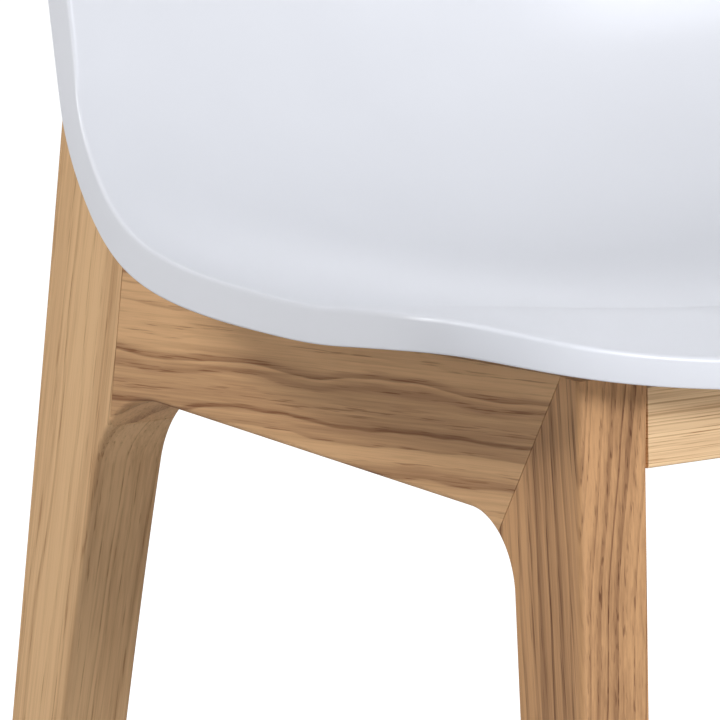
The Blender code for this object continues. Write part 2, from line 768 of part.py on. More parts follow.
def under_seat(x, y):
    """Height of the middle of the shell's wall above a point of the seat."""
    steps = np.linspace(0, SEAT_FLAT_LENGTH, 300)
    points = [seat_point(x, along) - seat_normal(x, along) * SHELL_WALL * 0.6 for along in steps]
    return float(np.interp(y, [p.y for p in points], [p.z for p in points]))


def add_bosses(shell):
    """Four round bosses under the seat, each with a blind hole for its threaded insert."""
    bosses = bmesh.new()
    holes = []
    sides = 16
    for end in ("front", "rear"):
        for side in SIDES:
            x, y, _ = seat_screw_axis(end, side)
            bottom = boss_bottom(end, side)
            low, high = [], []
            for k in range(sides):
                angle = 2 * math.pi * k / sides
                px, py = x + BOSS_R * math.cos(angle), y + BOSS_R * math.sin(angle)
                low.append(bosses.verts.new((px, py, bottom)))
                high.append(bosses.verts.new((px, py, under_seat(px, py))))
            crown = bosses.verts.new((x, y, under_seat(x, y)))
            bosses.faces.new(low)
            for k in range(sides):
                after = (k + 1) % sides
                bosses.faces.new((low[k], low[after], high[after], high[k]))
                bosses.faces.new((high[k], high[after], crown))
            hole = straight(INSERT_LENGTH + 0.002, INSERT_R + GAP)
            holes.append(((x, y, bottom - 0.001), (0, 0, 1), hole))
    modify_with(shell, bosses, "bosses", "UNION")
    drill(shell, holes)


# ---------------------------------------------------------------- assembly


def main():
    clear_scene()
    pieces = {}
    make_seat_shell()
    for side in SIDES:
        for piece in (make_front_leg(side), make_side_rail(side), make_rear_leg(side)):
            pieces[piece.name] = piece
    pieces["front_rail"] = make_front_rail()
    pieces["rear_rail"] = make_rear_rail()
    holes = {name: [] for name in pieces}

    for name, (middle, way, joined) in dowel_places().items():
        make_dowel(name, middle, way)
        reach = DOWEL_HALF + 2 * GAP
        for piece in joined:
            holes[piece].append((middle - way * reach, way, straight(2 * reach, DOWEL_R + GAP)))

    for side in SIDES:
        piece_from(f"mitre_tenon_{side}", tenon_solid(side, 0), tenon_middle(side), "beech")
        for owner in (f"front_leg_{side}", f"side_rail_{side}"):
            modify_with(pieces[owner], tenon_solid(side, GAP), "tenon_slot", "DIFFERENCE")

    for end in ("front", "rear"):
        for side in SIDES:
            make_corner_block(end, side)
            for mark, (head, way) in block_screws(end, side).items():
                make_wood_screw(f"block_screw_{end}_{side}_{mark}", head, way)
                rail = f"{end}_rail" if mark == "a" else f"side_rail_{side}"
                holes[rail].append((head, way, straight(WOOD_SCREW_LENGTH + 0.0015, WOOD_SCREW_R + GAP)))
            make_seat_fixing(end, side)
            make_glide(end, side)
            pin = straight(LEG_BOTTOM + GLIDE_PIN_LENGTH + 0.002, GLIDE_PIN_R + GAP)
            holes[f"{end}_leg_{side}"].append((foot_centre(end, side), (0, 0, 1), pin))

    for name, wanted in holes.items():
        drill(pieces[name], wanted)


main()
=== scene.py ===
# %% [markdown]
# # A dining chair: one white moulded seat on an ash frame
#
# The chair is a single plastic seat, seat and back in one piece, on a frame of solid ash. This
# lesson rebuilds its looks piece by piece on the measured frame: smooth finished meshes first,
# then the finishes, then the studio. The frame is loaded before anything else, and the sizes of
# its pieces are read from it. Nothing made here may grow past it.

import math

import bmesh
import bpy
import numpy as np
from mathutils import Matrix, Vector


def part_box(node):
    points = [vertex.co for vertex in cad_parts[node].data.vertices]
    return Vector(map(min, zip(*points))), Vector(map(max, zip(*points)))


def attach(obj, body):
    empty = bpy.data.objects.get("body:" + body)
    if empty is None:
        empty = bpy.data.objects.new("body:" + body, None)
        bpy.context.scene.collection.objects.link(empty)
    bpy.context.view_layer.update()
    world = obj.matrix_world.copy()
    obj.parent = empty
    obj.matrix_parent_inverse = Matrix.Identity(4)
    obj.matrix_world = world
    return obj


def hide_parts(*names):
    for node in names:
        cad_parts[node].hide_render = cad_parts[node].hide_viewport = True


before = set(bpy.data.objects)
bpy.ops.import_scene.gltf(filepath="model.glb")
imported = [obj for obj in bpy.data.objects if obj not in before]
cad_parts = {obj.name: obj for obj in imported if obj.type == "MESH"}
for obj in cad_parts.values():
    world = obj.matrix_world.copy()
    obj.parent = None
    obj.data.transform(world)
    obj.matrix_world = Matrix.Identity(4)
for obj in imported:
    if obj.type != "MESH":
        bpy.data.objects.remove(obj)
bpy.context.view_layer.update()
BODY = "root"
print("pieces in the frame:", len(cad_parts))

# %% [markdown]
# Every place on the chair is read from the frame, so the lesson stays true to it. The side boards
# give the width and the thickness of the timber, the front foot gives the front corner that all the
# side profiles are measured back from, and the blocks give the places of the screws.

# %% Read the main sizes
def low(name):
    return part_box(name)[0]


def high(name):
    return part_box(name)[1]


SIDES = {"left": -1, "right": 1}
ENDS = ("front", "rear")
HALF_FRAME = high("front_leg_right").x
BOARD = HALF_FRAME - low("front_leg_right").x
INNER_X = HALF_FRAME - BOARD
LEG_BOTTOM = low("front_leg_left").z
FOOT_FORWARD = 0.01557  # how far the front foot stands ahead of the front corner
FRONT_Y = low("front_leg_left").y + FOOT_FORWARD
FRAME_TOP = high("front_leg_left").z
GAP = 0.0003  # clearance between two pieces that touch
print(f"board {BOARD * 1000:.1f} mm, frame {2 * HALF_FRAME * 1000:.0f} mm wide")
print(f"front corner at y {FRONT_Y:.4f}, leg tops at {FRAME_TOP:.4f}")

# %% [markdown]
# The pieces share a few helpers. One turns a drawn mesh into a piece that rides on the frame and
# stands for the plain piece it replaces. Another puts the smooth shading of flat timber right:
# weighted normals keep a broad face flat right up to its rounded edge.

# %% Make a piece and hand it to the frame
def make_piece(name, bm, stands_for, finish, crease=35.0):
    bmesh.ops.recalc_face_normals(bm, faces=bm.faces)
    middle = (low(stands_for[0]) + high(stands_for[0])) / 2
    bmesh.ops.translate(bm, verts=bm.verts, vec=-middle)
    mesh = bpy.data.meshes.new(name)
    bm.to_mesh(mesh)
    bm.free()
    mesh.shade_smooth()
    mesh.set_sharp_from_angle(angle=math.radians(crease))
    piece = bpy.data.objects.new(name, mesh)
    piece.location = middle
    bpy.context.scene.collection.objects.link(piece)
    piece.data.materials.append(finish)
    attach(piece, BODY)
    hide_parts(*stands_for)
    return piece


def level_normals(piece):
    weighted = piece.modifiers.new("level_normals", "WEIGHTED_NORMAL")
    weighted.keep_sharp = True
    weighted.weight = 80


print("pieces ride on the body called", BODY)

# %% [markdown]
# A finish is a small network of nodes. A short helper adds a node, sets it up and joins its inputs,
# so that each finish below reads as a recipe and not as wiring.

# %% Helpers for shader nodes
def add(tree, kind, feeds=None, **settings):
    made = tree.nodes.new(kind)
    for key, value in settings.items():
        setattr(made, key, value)
    for socket, value in (feeds or {}).items():
        if isinstance(value, bpy.types.NodeSocket):
            tree.links.new(value, made.inputs[socket])
        else:
            made.inputs[socket].default_value = value
    return made


def sums(tree, operation, *values):
    return add(tree, "ShaderNodeMath", dict(enumerate(values)), operation=operation).outputs[0]


def times(tree, first, second):
    return sums(tree, "MULTIPLY", first, second)


def vectors(tree, operation, *values):
    made = add(tree, "ShaderNodeVectorMath", dict(enumerate(values)), operation=operation)
    return made.outputs["Value" if operation == "LENGTH" else "Vector"]


def ramp(tree, value, stops, ease="EASE"):
    """Stops are places from 0 to 1, each with a colour, or with one number for a grey."""
    made = tree.nodes.new("ShaderNodeValToRGB")
    made.color_ramp.interpolation = ease
    tree.links.new(value, made.inputs[0])
    bar = made.color_ramp.elements
    while len(bar) < len(stops):
        bar.new(0.5)
    for k, (place, color) in enumerate(stops):
        bar[k].position = place
        bar[k].color = (*color, 1) if isinstance(color, tuple) else (color, color, color, 1)
    return made.outputs[0]


def new_finish(name):
    finish = bpy.data.materials.new(name)
    finish.use_nodes = True
    tree = finish.node_tree
    return finish, tree, tree.nodes["Principled BSDF"]


def emboss(tree, shader, height, strength, distance):
    bump = add(tree, "ShaderNodeBump", {"Height": height, "Strength": strength, "Distance": distance})
    tree.links.new(bump.outputs[0], shader.inputs["Normal"])


print("shader helpers ready")

# %% [markdown]
# Ash is drawn from the inside out, as it grows. Yearly rings are cylinders round the tree's heart,
# wavy because no tree is straight. Each board is a different cut through them: where the heart lies
# to the side of a face the rings show as broad wandering figure, and where it lies in line with the
# face they show as fine straight lines. So one recipe gives every face of every board the right
# figure, and the figure runs round the corners as it does in solid timber.

# %% The rings of the tree
def cloud(tree, laid, across, along, detail=2.0, rough=0.5):
    """Noise with about this many features to the metre, across the board and along it."""
    drawn = vectors(tree, "MULTIPLY", laid, (across, across, along))
    feeds = {"Vector": drawn, "Scale": 1.0, "Detail": detail, "Roughness": rough}
    return add(tree, "ShaderNodeTexNoise", feeds)


def shifted(tree, vector, noise, amount):
    centred = vectors(tree, "SUBTRACT", noise.outputs["Color"], (0.5, 0.5, 0.5))
    return vectors(tree, "ADD", vector, vectors(tree, "MULTIPLY", centred, (amount, amount, 0)))


def over_years(tree, count, rate, detail):
    """A value that changes slowly from ring to ring."""
    feeds = {"W": times(tree, count, rate), "Scale": 1.0, "Detail": detail}
    return add(tree, "ShaderNodeTexNoise", feeds, noise_dimensions="1D").outputs[0]


def ring_count(tree, laid, heart, ring, look):
    """How many rings lie between a place in the board and the tree's heart."""
    seed = look.get("seed", 0.0)
    swing = cloud(tree, laid, look.get("wander_across", 16), look.get("wander_along", 5), 1.5)
    wavy = shifted(tree, laid, swing, 2 * look.get("wander", 0.010))
    ripple = cloud(tree, laid, 90, look.get("ripple_along", 14), 1.0)
    wavy = shifted(tree, wavy, ripple, 2 * look.get("ripple", 0.0012))
    from_heart = vectors(tree, "SUBTRACT", wavy, (heart[0] + seed, heart[1] - seed, 0))
    radius = vectors(tree, "LENGTH", vectors(tree, "MULTIPLY", from_heart, (1, 1, 0)))
    count = sums(tree, "DIVIDE", radius, ring)
    return sums(tree, "ADD", count, times(tree, over_years(tree, count, 0.45, 2.0), 2.2))


print("tree rings ready")

# %% [markdown]
# A ring is dark and porous where spring growth starts, then pale and dense. Some years are bolder
# than others, and here and there a stretch of years is brown heartwood. Fibres, flecks and pores lie
# over that, drawn out along the board. All of it adds up to one depth of colour, from the board's
# light tone to its dark one. The pores also dull the shine and are pressed in a little.

# %% The ash finish
def ash(name, grain, heart, ring, light, dark, **look):
    """grain: turn that lays the board's length on Z; heart: the tree's middle, across the board."""
    finish, tree, shader = new_finish(name)
    fine = look.get("fine", 1.0)
    seed = look.get("seed", 0.0)
    place = add(tree, "ShaderNodeTexCoord").outputs["Object"]
    laid = add(tree, "ShaderNodeMapping", {"Vector": place, "Rotation": grain}).outputs[0]
    laid = vectors(tree, "ADD", laid, (seed, -seed, 0.7 * seed))
    count = ring_count(tree, laid, heart, ring, look)

    year = sums(tree, "FRACT", count)
    early = ramp(tree, year, ((0.0, 1), (0.10, 0.85), (0.38, 0.12), (0.86, 0), (1.0, 1)))
    bold = sums(tree, "POWER", ramp(tree, over_years(tree, count, 0.62, 1.0), ((0.30, 0.15), (0.70, 1))), 1.3)
    line = times(tree, times(tree, early, bold), look.get("lines", 1.0))
    brown = over_years(tree, count, look.get("streak_rate", 0.16), 2.0)
    heartwood = ramp(tree, brown, ((0.42, 0), (0.66, 1)))

    fibre = cloud(tree, laid, 1100, 16, 3.0, 0.6).outputs[0]
    fleck = cloud(tree, laid, 420, 9, 2.0).outputs[0]
    patch = cloud(tree, laid, 9, 2.6, 2.0).outputs[0]
    pores = ramp(tree, cloud(tree, laid, 1500, 42, 1.0).outputs[0], ((0.55, 0), (0.68, 1)))
    pores = times(tree, pores, sums(tree, "ADD", times(tree, early, 0.75), 0.12))

    depth = sums(tree, "ADD", times(tree, line, 0.62), times(tree, heartwood, look.get("streak", 0.35)))
    for noise, share in ((fibre, 0.42 * fine), (fleck, 0.35 * fine), (patch, 0.30)):
        depth = sums(tree, "ADD", depth, times(tree, sums(tree, "SUBTRACT", noise, 0.5), share))
    depth = sums(tree, "ADD", depth, times(tree, pores, 0.35 * fine))
    middle = tuple(0.5 * (a + b) for a, b in zip(light, dark))
    color = ramp(tree, depth, ((0.0, light), (0.45, middle), (1.0, dark)), "LINEAR")
    tree.links.new(color, shader.inputs["Base Color"])

    gloss = sums(tree, "ADD", 0.46, times(tree, sums(tree, "ADD", fibre, pores), 0.10))
    tree.links.new(gloss, shader.inputs["Roughness"])
    pressed = sums(tree, "ADD", pores, times(tree, line, 0.3))
    emboss(tree, shader, sums(tree, "SUBTRACT", times(tree, fibre, 0.35), pressed), 0.35, 0.00012)
    shader.inputs["Specular IOR Level"].default_value = 0.35
    return finish


print("ash recipe ready")

# %% [markdown]
# Every board gets an ash of its own, since no two come from the same place in the tree. The side
# rail is cut from near the face of the tree, so its outer face carries bold brown figure, and its
# grain climbs a little towards the front. The legs show straight grain at the front. The front rail
# is the palest and the most even, a quarter cut with narrow rings.

# %% Mix an ash finish for each board
def tone(*paper):
    """A colour given as it looks on paper, 0 to 255, as the linear light that a shader takes."""
    return tuple(((value / 255 + 0.055) / 1.055) ** 2.4 for value in paper)


def turn_about_x(degrees):
    return (math.radians(degrees), 0, 0)


SIDEWAYS = (0, math.radians(90), 0)
BACKWARD_DEGREES = 90
RAIL_TILT = 7  # degrees that the rail's grain climbs towards the front
FRONT_LEG_TILT = 7
REAR_LEG_TILT = -11
ASH = {}
for side, sign in SIDES.items():
    ASH[f"side_rail_{side}"] = ash(
        f"ash_side_rail_{side}", turn_about_x(BACKWARD_DEGREES + RAIL_TILT),
        (sign * -0.05, 0.11), 0.0058,
        tone(222, 176, 126), tone(138, 91, 54),
        wander=0.008, wander_across=12, wander_along=8, ripple=0.0017, ripple_along=26,
        streak=0.45, streak_rate=0.20, lines=0.85, fine=1.4, seed=0.37 + sign * 0.05,
    )
    ASH[f"front_leg_{side}"] = ash(
        f"ash_front_leg_{side}", turn_about_x(FRONT_LEG_TILT), (sign * -0.11, 0.045), 0.0030,
        tone(210, 160, 110), tone(108, 66, 36),
        wander=0.006, ripple=0.0007, streak=0.14, lines=1.0, fine=1.5, seed=1.13 + sign * 0.21,
    )
    ASH[f"rear_leg_{side}"] = ash(
        f"ash_rear_leg_{side}", turn_about_x(REAR_LEG_TILT), (sign * -0.12, 0.06), 0.0034,
        tone(230, 188, 138), tone(164, 118, 74),
        wander=0.005, ripple=0.0005, streak=0.20, lines=0.65, fine=1.5, seed=2.41 + sign * 0.33,
    )
ASH["front_rail"] = ash(
    "ash_front_rail", SIDEWAYS, (0.25, 0.03), 0.0013,
    tone(250, 213, 164), tone(166, 108, 54),
    wander=0.003, ripple=0.0005, streak=0.15, lines=0.8, fine=1.3, seed=3.3,
)
ASH["rear_rail"] = ash(
    "ash_rear_rail", SIDEWAYS, (0.25, 0.03), 0.0032,
    tone(226, 186, 132), tone(146, 100, 56),
    wander=0.004, ripple=0.0006, streak=0.25, lines=1.0, seed=4.1,
)
print("ash finishes:", len(ASH))

# %% [markdown]
# The seat's plastic is a plain white with a satin shine. Moulded plastic is never optically flat:
# the finish adds a very shallow ripple, and a gloss that varies a little from place to place as the
# polish of the mould does.

# %% The white plastic finish
def white_plastic():
    finish, tree, shader = new_finish("satin_white_plastic")
    place = add(tree, "ShaderNodeTexCoord").outputs["Object"]
    broad = add(tree, "ShaderNodeTexNoise", {"Vector": place, "Scale": 7.0, "Detail": 2.0}).outputs[0]
    fine = add(tree, "ShaderNodeTexNoise", {"Vector": place, "Scale": 900.0, "Detail": 2.0}).outputs[0]
    color = ramp(tree, broad, ((0.25, (0.835, 0.838, 0.850)), (0.75, (0.868, 0.870, 0.880))))
    tree.links.new(color, shader.inputs["Base Color"])
    gloss = sums(tree, "ADD", 0.25, times(tree, sums(tree, "ADD", broad, fine), 0.06))
    tree.links.new(gloss, shader.inputs["Roughness"])
    emboss(tree, shader, sums(tree, "ADD", broad, times(tree, fine, 0.02)), 0.12, 0.0006)
    shader.inputs["Specular IOR Level"].default_value = 0.45
    return finish


WHITE = white_plastic()
print("seat finish:", WHITE.name)

# %% [markdown]
# The seat is drawn as a row of stations from its front edge, over the seat, round the bend and up
# the back. Each station says how high the middle is, how wide the seat is there, how far the sides
# stand above the middle, how much of that comes only near the edge, how deep the turned-down rim is,
# and how soon the sides rise. A smooth curve through the row and a smooth lift to the sides give the
# whole surface, with no seam to hide.
#
# A caution: apart from the first column and the last three rows, these values and the front corner's
# were worked out by a separate fitting program and pasted in, and only some were changed by hand
# afterwards. They are data more than design. A better lesson would draw them from a few named sizes.

# %% The seat's stations
SEAT_STATIONS = (
    (-0.0380, 0.4400, 0.2424, 0.0213, 0.0104, 0.0125, 1.04),
    (-0.0100, 0.4423, 0.2429, 0.0220, 0.0065, 0.0137, 1.06),
    (0.0260, 0.4428, 0.2436, 0.0219, 0.0013, 0.0145, 1.35),
    (0.0640, 0.4420, 0.2436, 0.0213, -0.0023, 0.0149, 1.49),
    (0.0980, 0.4278, 0.2428, 0.0281, 0.0004, 0.0154, 1.44),
    (0.1400, 0.4183, 0.2408, 0.0308, 0.0045, 0.0158, 1.33),
    (0.1950, 0.4160, 0.2390, 0.0284, 0.0074, 0.0164, 1.27),
    (0.2520, 0.4190, 0.2362, 0.0299, 0.0075, 0.0171, 1.30),
    (0.3080, 0.4334, 0.2226, 0.0379, 0.0069, 0.0172, 1.33),
    (0.3580, 0.4636, 0.2117, 0.0474, 0.0040, 0.0168, 1.34),
    (0.3840, 0.5165, 0.2074, 0.0545, 0.0013, 0.0161, 1.35),
    (0.4000, 0.5858, 0.2059, 0.0525, 0.0001, 0.0144, 1.35),
    (0.4160, 0.6650, 0.2035, 0.0420, 0.0000, 0.0130, 1.35),
    (0.4320, 0.7450, 0.1980, 0.0300, 0.0000, 0.0120, 1.35),
    (0.4450, 0.8260, 0.1900, 0.0220, 0.0000, 0.0120, 1.35),
)
WALL = 0.0045
FRONT_CORNER = (0.1087, 3.38)  # each corner's length along the seat, and its squareness
TOP_CORNER = (0.120, 2.4)
CELLS = (96, 184)  # squares across and along
KEEP_IN = 0.00014  # keeps the fine edge inside the frame's own box
EDGE_ROW = 0.0075  # the net stops this far in from the edge, and the rim takes over
NET_MIDDLE = 0.45  # where the net's rings shrink to, as a share of the seat's length
RIM_ROUND, RIM_FOOT, RIM_HOLLOW = 0.0025, 0.0008, 0.0020


def smooth_curve(rows, count):
    rows = np.array(rows)
    rows = np.vstack([rows[:1], rows[:1], rows, rows[-1:], rows[-1:]])
    spans = len(rows) - 3
    place = np.linspace(0, spans, count)
    span = np.minimum(place.astype(int), spans - 1)
    t = (place - span)[:, None]
    weights = (
        (1 - t) ** 3 / 6,
        (3 * t**3 - 6 * t**2 + 4) / 6,
        (-3 * t**3 + 3 * t**2 + 3 * t + 1) / 6,
        t**3 / 6,
    )
    return sum(weight * rows[span + k] for k, weight in enumerate(weights))


CURVE = smooth_curve(SEAT_STATIONS, 4000)
ALONG = np.concatenate([[0.0], np.cumsum(np.hypot(np.diff(CURVE[:, 0]), np.diff(CURVE[:, 1])))])
LENGTH = ALONG[-1]
SLOPE = np.unwrap(np.arctan2(np.gradient(CURVE[:, 1], ALONG), np.gradient(CURVE[:, 0], ALONG)))
print(f"seat, front edge to top along the middle: {LENGTH * 1000:.0f} mm")

# %% [markdown]
# From a place on the unrolled seat, which is a distance across and a distance along, the surface
# gives a point in space. It is worked out for thousands of places at once, which keeps the lesson
# quick. The normal comes from two short steps over the surface.

# %% Points and normals of the seat
def seat_points(x, along):
    y, z, half, sides, lip, _, early = (np.interp(along, ALONG, CURVE[:, k]) for k in range(7))
    slope = np.interp(along, ALONG, SLOPE)
    t = np.abs(x) / half
    lift = sides * (early * t**2 + (1 - early) * t**4) + lip * t**10
    return np.stack([x, FRONT_Y + y - np.sin(slope) * lift, z + np.cos(slope) * lift], axis=-1)


def seat_normals(x, along):
    step = 0.0004
    across = seat_points(x + step, along) - seat_points(x - step, along)
    onward = seat_points(x, along + step) - seat_points(x, along - step)
    normal = np.cross(across, onward)
    return normal / np.linalg.norm(normal, axis=-1, keepdims=True)


print("front edge, middle:", [round(float(c), 4) for c in seat_points(np.zeros(1), np.zeros(1))[0]])

# %% [markdown]
# The edge of the unrolled sheet is straight along the sides and rounded at four corners, the front
# ones squarer than the top ones. One half is drawn, and the other mirrors it. Places on it are given
# as a share of the way round, moved inwards by so much.

# %% The edge of the seat
EDGE_STEPS = 800


def half_outline():
    front_length, front_power = FRONT_CORNER
    top_length, top_power = TOP_CORNER
    turn = np.linspace(math.pi / 2, 0, EDGE_STEPS)
    front = front_length * (1 - np.sin(turn) ** (2 / front_power))
    middle = np.linspace(front_length, LENGTH - top_length, EDGE_STEPS)
    top = LENGTH - top_length + top_length * np.sin(turn[::-1]) ** (2 / top_power)
    share = np.concatenate([
        np.clip(np.cos(turn), 0, 1) ** (2 / front_power),
        np.ones(EDGE_STEPS),
        np.clip(np.cos(turn[::-1]), 0, 1) ** (2 / top_power),
    ])
    along = np.concatenate([front, middle, top])
    return np.interp(along, ALONG, CURVE[:, 2]) * share, along


EDGE_X, EDGE_ALONG = half_outline()
EDGE_RUN = np.concatenate([[0.0], np.cumsum(np.hypot(np.diff(EDGE_X), np.diff(EDGE_ALONG)))])


def edge_place(share, inset):
    """The place this share of the way round the right half of the edge, moved in by inset."""
    inset = inset + KEEP_IN
    run = share * EDGE_RUN[-1]
    before = np.clip(run - 0.002, 0, EDGE_RUN[-1])
    after = np.clip(run + 0.002, 0, EDGE_RUN[-1])
    way_x = np.interp(after, EDGE_RUN, EDGE_X) - np.interp(before, EDGE_RUN, EDGE_X)
    way_a = np.interp(after, EDGE_RUN, EDGE_ALONG) - np.interp(before, EDGE_RUN, EDGE_ALONG)
    way_a = np.where((share <= 0) | (share >= 1), 0, way_a)
    way_x = np.where(share <= 0, 1, np.where(share >= 1, -1, way_x))
    size = np.hypot(way_x, way_a)
    x = np.interp(run, EDGE_RUN, EDGE_X) - way_a / size * inset
    along = np.interp(run, EDGE_RUN, EDGE_ALONG) + way_x / size * inset
    return x, along


print(f"edge, once round: {2 * EDGE_RUN[-1] * 1000:.0f} mm")

# %% [markdown]
# Turned shapes come up all over the chair: the seat's bosses, the washers, the screws and the feet.
# One helper spins a profile round an axis. A ring of the profile can also be drawn as a hexagon,
# which is how the socket for the key is sunk into a screw's head.

# %% Spin a profile
PLACES = [(end, side) for end in ENDS for side in SIDES]
STEPS = 48


def join_rings(bm, pairs):
    for first, second in pairs:
        for k in range(len(first)):
            after = (k + 1) % len(first)
            bm.faces.new((first[k], first[after], second[after], second[k]))


def hexagon(turn):
    return math.cos(math.radians(30)) / math.cos(turn % math.radians(60) - math.radians(30))


def spin(bm, start, way, profile, tube=False):
    """profile: rows of distance along the axis, radius, and True for a ring drawn as a hexagon."""
    way = Vector(way)
    side_way = way.orthogonal().normalized()
    other_way = way.cross(side_way)
    rings = []
    for along, radius, *hexed in profile:
        ring = []
        for k in range(STEPS):
            turn = 2 * math.pi * k / STEPS
            reach = radius * (hexagon(turn) if hexed else 1)
            out = side_way * math.cos(turn) + other_way * math.sin(turn)
            ring.append(bm.verts.new(Vector(start) + way * along + out * reach))
        rings.append(ring)
    pairs = list(zip(rings, rings[1:]))
    if tube:
        pairs.append((rings[-1], rings[0]))
    else:
        bm.faces.new(rings[0])
        bm.faces.new(rings[-1])
    join_rings(bm, pairs)


print("turned shapes get", STEPS, "steps")

# %% [markdown]
# The seat is screwed on through four bosses moulded under it. Each is a short tube round a brass
# insert, and runs up into the wall of the seat.

# %% A boss under the seat
BOSS_RADIUS = 0.011
BOSS_EDGE = 0.0006
INTO_WALL = 0.6  # share of the wall that a boss runs up into
PAST_SCREWS = 0.42  # along the seat, from its front edge to past the rear screws
SURFACE_STEPS = 800


def boss_top(x, y):
    along = np.linspace(0.0, PAST_SCREWS, SURFACE_STEPS)
    line = seat_points(np.full(SURFACE_STEPS, x), along)
    return float(np.interp(y, line[:, 1], line[:, 2])) - WALL * INTO_WALL


def add_boss(bm, place):
    insert = "threaded_insert_" + "_".join(place)
    middle = (low(insert) + high(insert)) / 2
    bore = (high(insert).x - low(insert).x) / 2 + GAP
    top = boss_top(middle.x, middle.y)
    bottom = low(insert).z - GAP
    ceiling = high(insert).z + GAP
    profile = (
        (ceiling - bottom, bore * 0.5),
        (ceiling - bottom, bore),
        (0.0, bore),
        (0.0, BOSS_RADIUS - BOSS_EDGE),
        (BOSS_EDGE, BOSS_RADIUS),
        (top - bottom, BOSS_RADIUS),
    )
    spin(bm, (middle.x, middle.y, bottom), (0, 0, 1), profile)
    bm.verts.ensure_lookup_table()
    for vert in bm.verts[-STEPS:]:
        vert.co.z = boss_top(vert.co.x, vert.co.y)


print("bosses to mould:", len(PLACES))

# %% [markdown]
# A round-cornered sheet is awkward to cover with a square net. The net here is drawn in rings, each
# a smaller copy of the edge, which lets the squares flow round the corners and keeps them even. Both
# faces of the wall use the same net. Between them runs the rim: a rounded top edge, a face turned
# down, a small round below, and a hollow round back up to the underside.

# %% The net and the rim
NEARLY = 1e-9


def ring_place(i, j):
    u = 2 * i / CELLS[0] - 1
    v = 2 * j / CELLS[1] - 1
    ring = np.maximum(np.abs(u), np.abs(v))
    safe = np.where(ring == 0, 1, ring)
    side_u, side_v = np.abs(u) / safe, v / safe
    half_x, half_y = CELLS[0] / 2, CELLS[1]
    on_front, on_side = side_v <= -1 + NEARLY, side_u >= 1 - NEARLY
    up_side = half_x + (side_v + 1) / 2 * half_y
    round_top = half_x + half_y + (1 - side_u) * half_x
    run = np.where(on_front, side_u * half_x, np.where(on_side, up_side, round_top))
    run = np.where(ring == 0, 0, run)
    return run / (2 * half_x + half_y), np.where(u >= 0, 1, -1), ring


def rim_section(depth):
    """Inset and drop of the rim's section, from the upper face round to the underside."""
    quarters = (
        (7, lambda s, c: (RIM_ROUND * (1 - s), RIM_ROUND * (1 - c))),
        (5, lambda s, c: (RIM_FOOT * (1 - c), depth - RIM_FOOT * (1 - s))),
        (5, lambda s, c: (WALL - RIM_FOOT * (1 - s), depth - RIM_FOOT * (1 - c))),
        (6, lambda s, c: (WALL + RIM_HOLLOW * (1 - c), WALL + RIM_HOLLOW * (1 - s))),
    )
    points = []
    for count, place in quarters:
        for turn in np.radians(np.linspace(0, 90, count)):
            points.append(place(math.sin(turn), math.cos(turn)))
    return points


print("rim section points:", len(rim_section(2 * RIM_ROUND)))

# %% [markdown]
# The shell is now one closed skin: the upper face, the rim and the underside. The bosses are moulded
# in one with it, so they belong to the same piece.

# %% Draw the seat shell
def draw_shell():
    bm = bmesh.new()
    columns, rows = np.meshgrid(np.arange(CELLS[0] + 1), np.arange(CELLS[1] + 1))
    share, sign, ring = ring_place(columns, rows)
    edge_x, edge_along = edge_place(share, EDGE_ROW)
    middle = LENGTH * NET_MIDDLE
    x = edge_x * ring * sign
    along = middle + (edge_along - middle) * ring
    upper = seat_points(x, along)
    under = upper - seat_normals(x, along) * WALL
    nets = []
    for sheet in (upper, under):
        net = [[bm.verts.new(point) for point in row] for row in sheet]
        for j in range(CELLS[1]):
            for i in range(CELLS[0]):
                bm.faces.new((net[j][i], net[j][i + 1], net[j + 1][i + 1], net[j + 1][i]))
        nets.append(net)
    nx, ny = CELLS
    border = [(i, 0) for i in range(nx)] + [(nx, j) for j in range(ny)]
    border += [(i, ny) for i in range(nx, 0, -1)] + [(0, j) for j in range(ny, 0, -1)]
    bi, bj = np.array(border).T
    share, sign, _ = ring_place(bi, bj)
    depth = np.interp(edge_place(share, 0)[1], ALONG, CURVE[:, 5])
    loops = [[nets[0][j][i] for i, j in border]]
    for k in range(len(rim_section(WALL))):
        section = np.array([rim_section(d)[k] for d in depth])
        x, along = edge_place(share, section[:, 0])
        slope = np.interp(along, ALONG, SLOPE)
        points = seat_points(x * sign, along)
        points += np.stack([0 * slope, np.sin(slope), -np.cos(slope)], axis=-1) * section[:, 1:2]
        loops.append([bm.verts.new(point) for point in points])
    loops.append([nets[1][j][i] for i, j in border])
    join_rings(bm, zip(loops, loops[1:]))
    for place in PLACES:
        add_boss(bm, place)
    return bm


shell = make_piece("moulded_seat", draw_shell(), ["seat_shell"], WHITE, crease=60)
print("seat faces:", len(shell.data.polygons))

# %% [markdown]
# The side frames are flat boards sawn to shape and joined. Each board is drawn as an outline seen
# from the side, as on a joiner's template: straight runs, long bows for the rear legs, and true arcs
# where the legs meet the rail. The outline is given a thickness, and only the edges that a
# hand would touch are rounded over. Edges that meet another board stay square, so the joints close.

# %% Template helpers
def on_line(line, height):
    (y0, z0), (y1, z1) = line
    return Vector((y0 + (y1 - y0) * (height - z0) / (z1 - z0), height))


def fillet(before, corner, after, radius):
    corner = Vector(corner)
    first = (Vector(before) - corner).normalized()
    second = (Vector(after) - corner).normalized()
    half = first.angle(second) / 2
    reach = radius / math.tan(half)
    centre = corner + (first + second).normalized() * radius / math.sin(half)
    return centre, corner + first * reach, corner + second * reach


def arc(centre, start, end, steps):
    a = math.atan2(start.y - centre.y, start.x - centre.x)
    b = math.atan2(end.y - centre.y, end.x - centre.x)
    sweep = (b - a + math.pi) % (2 * math.pi) - math.pi
    radius = (start - centre).length
    return [
        centre + radius * Vector((math.cos(a + sweep * k / steps), math.sin(a + sweep * k / steps)))
        for k in range(steps + 1)
    ]


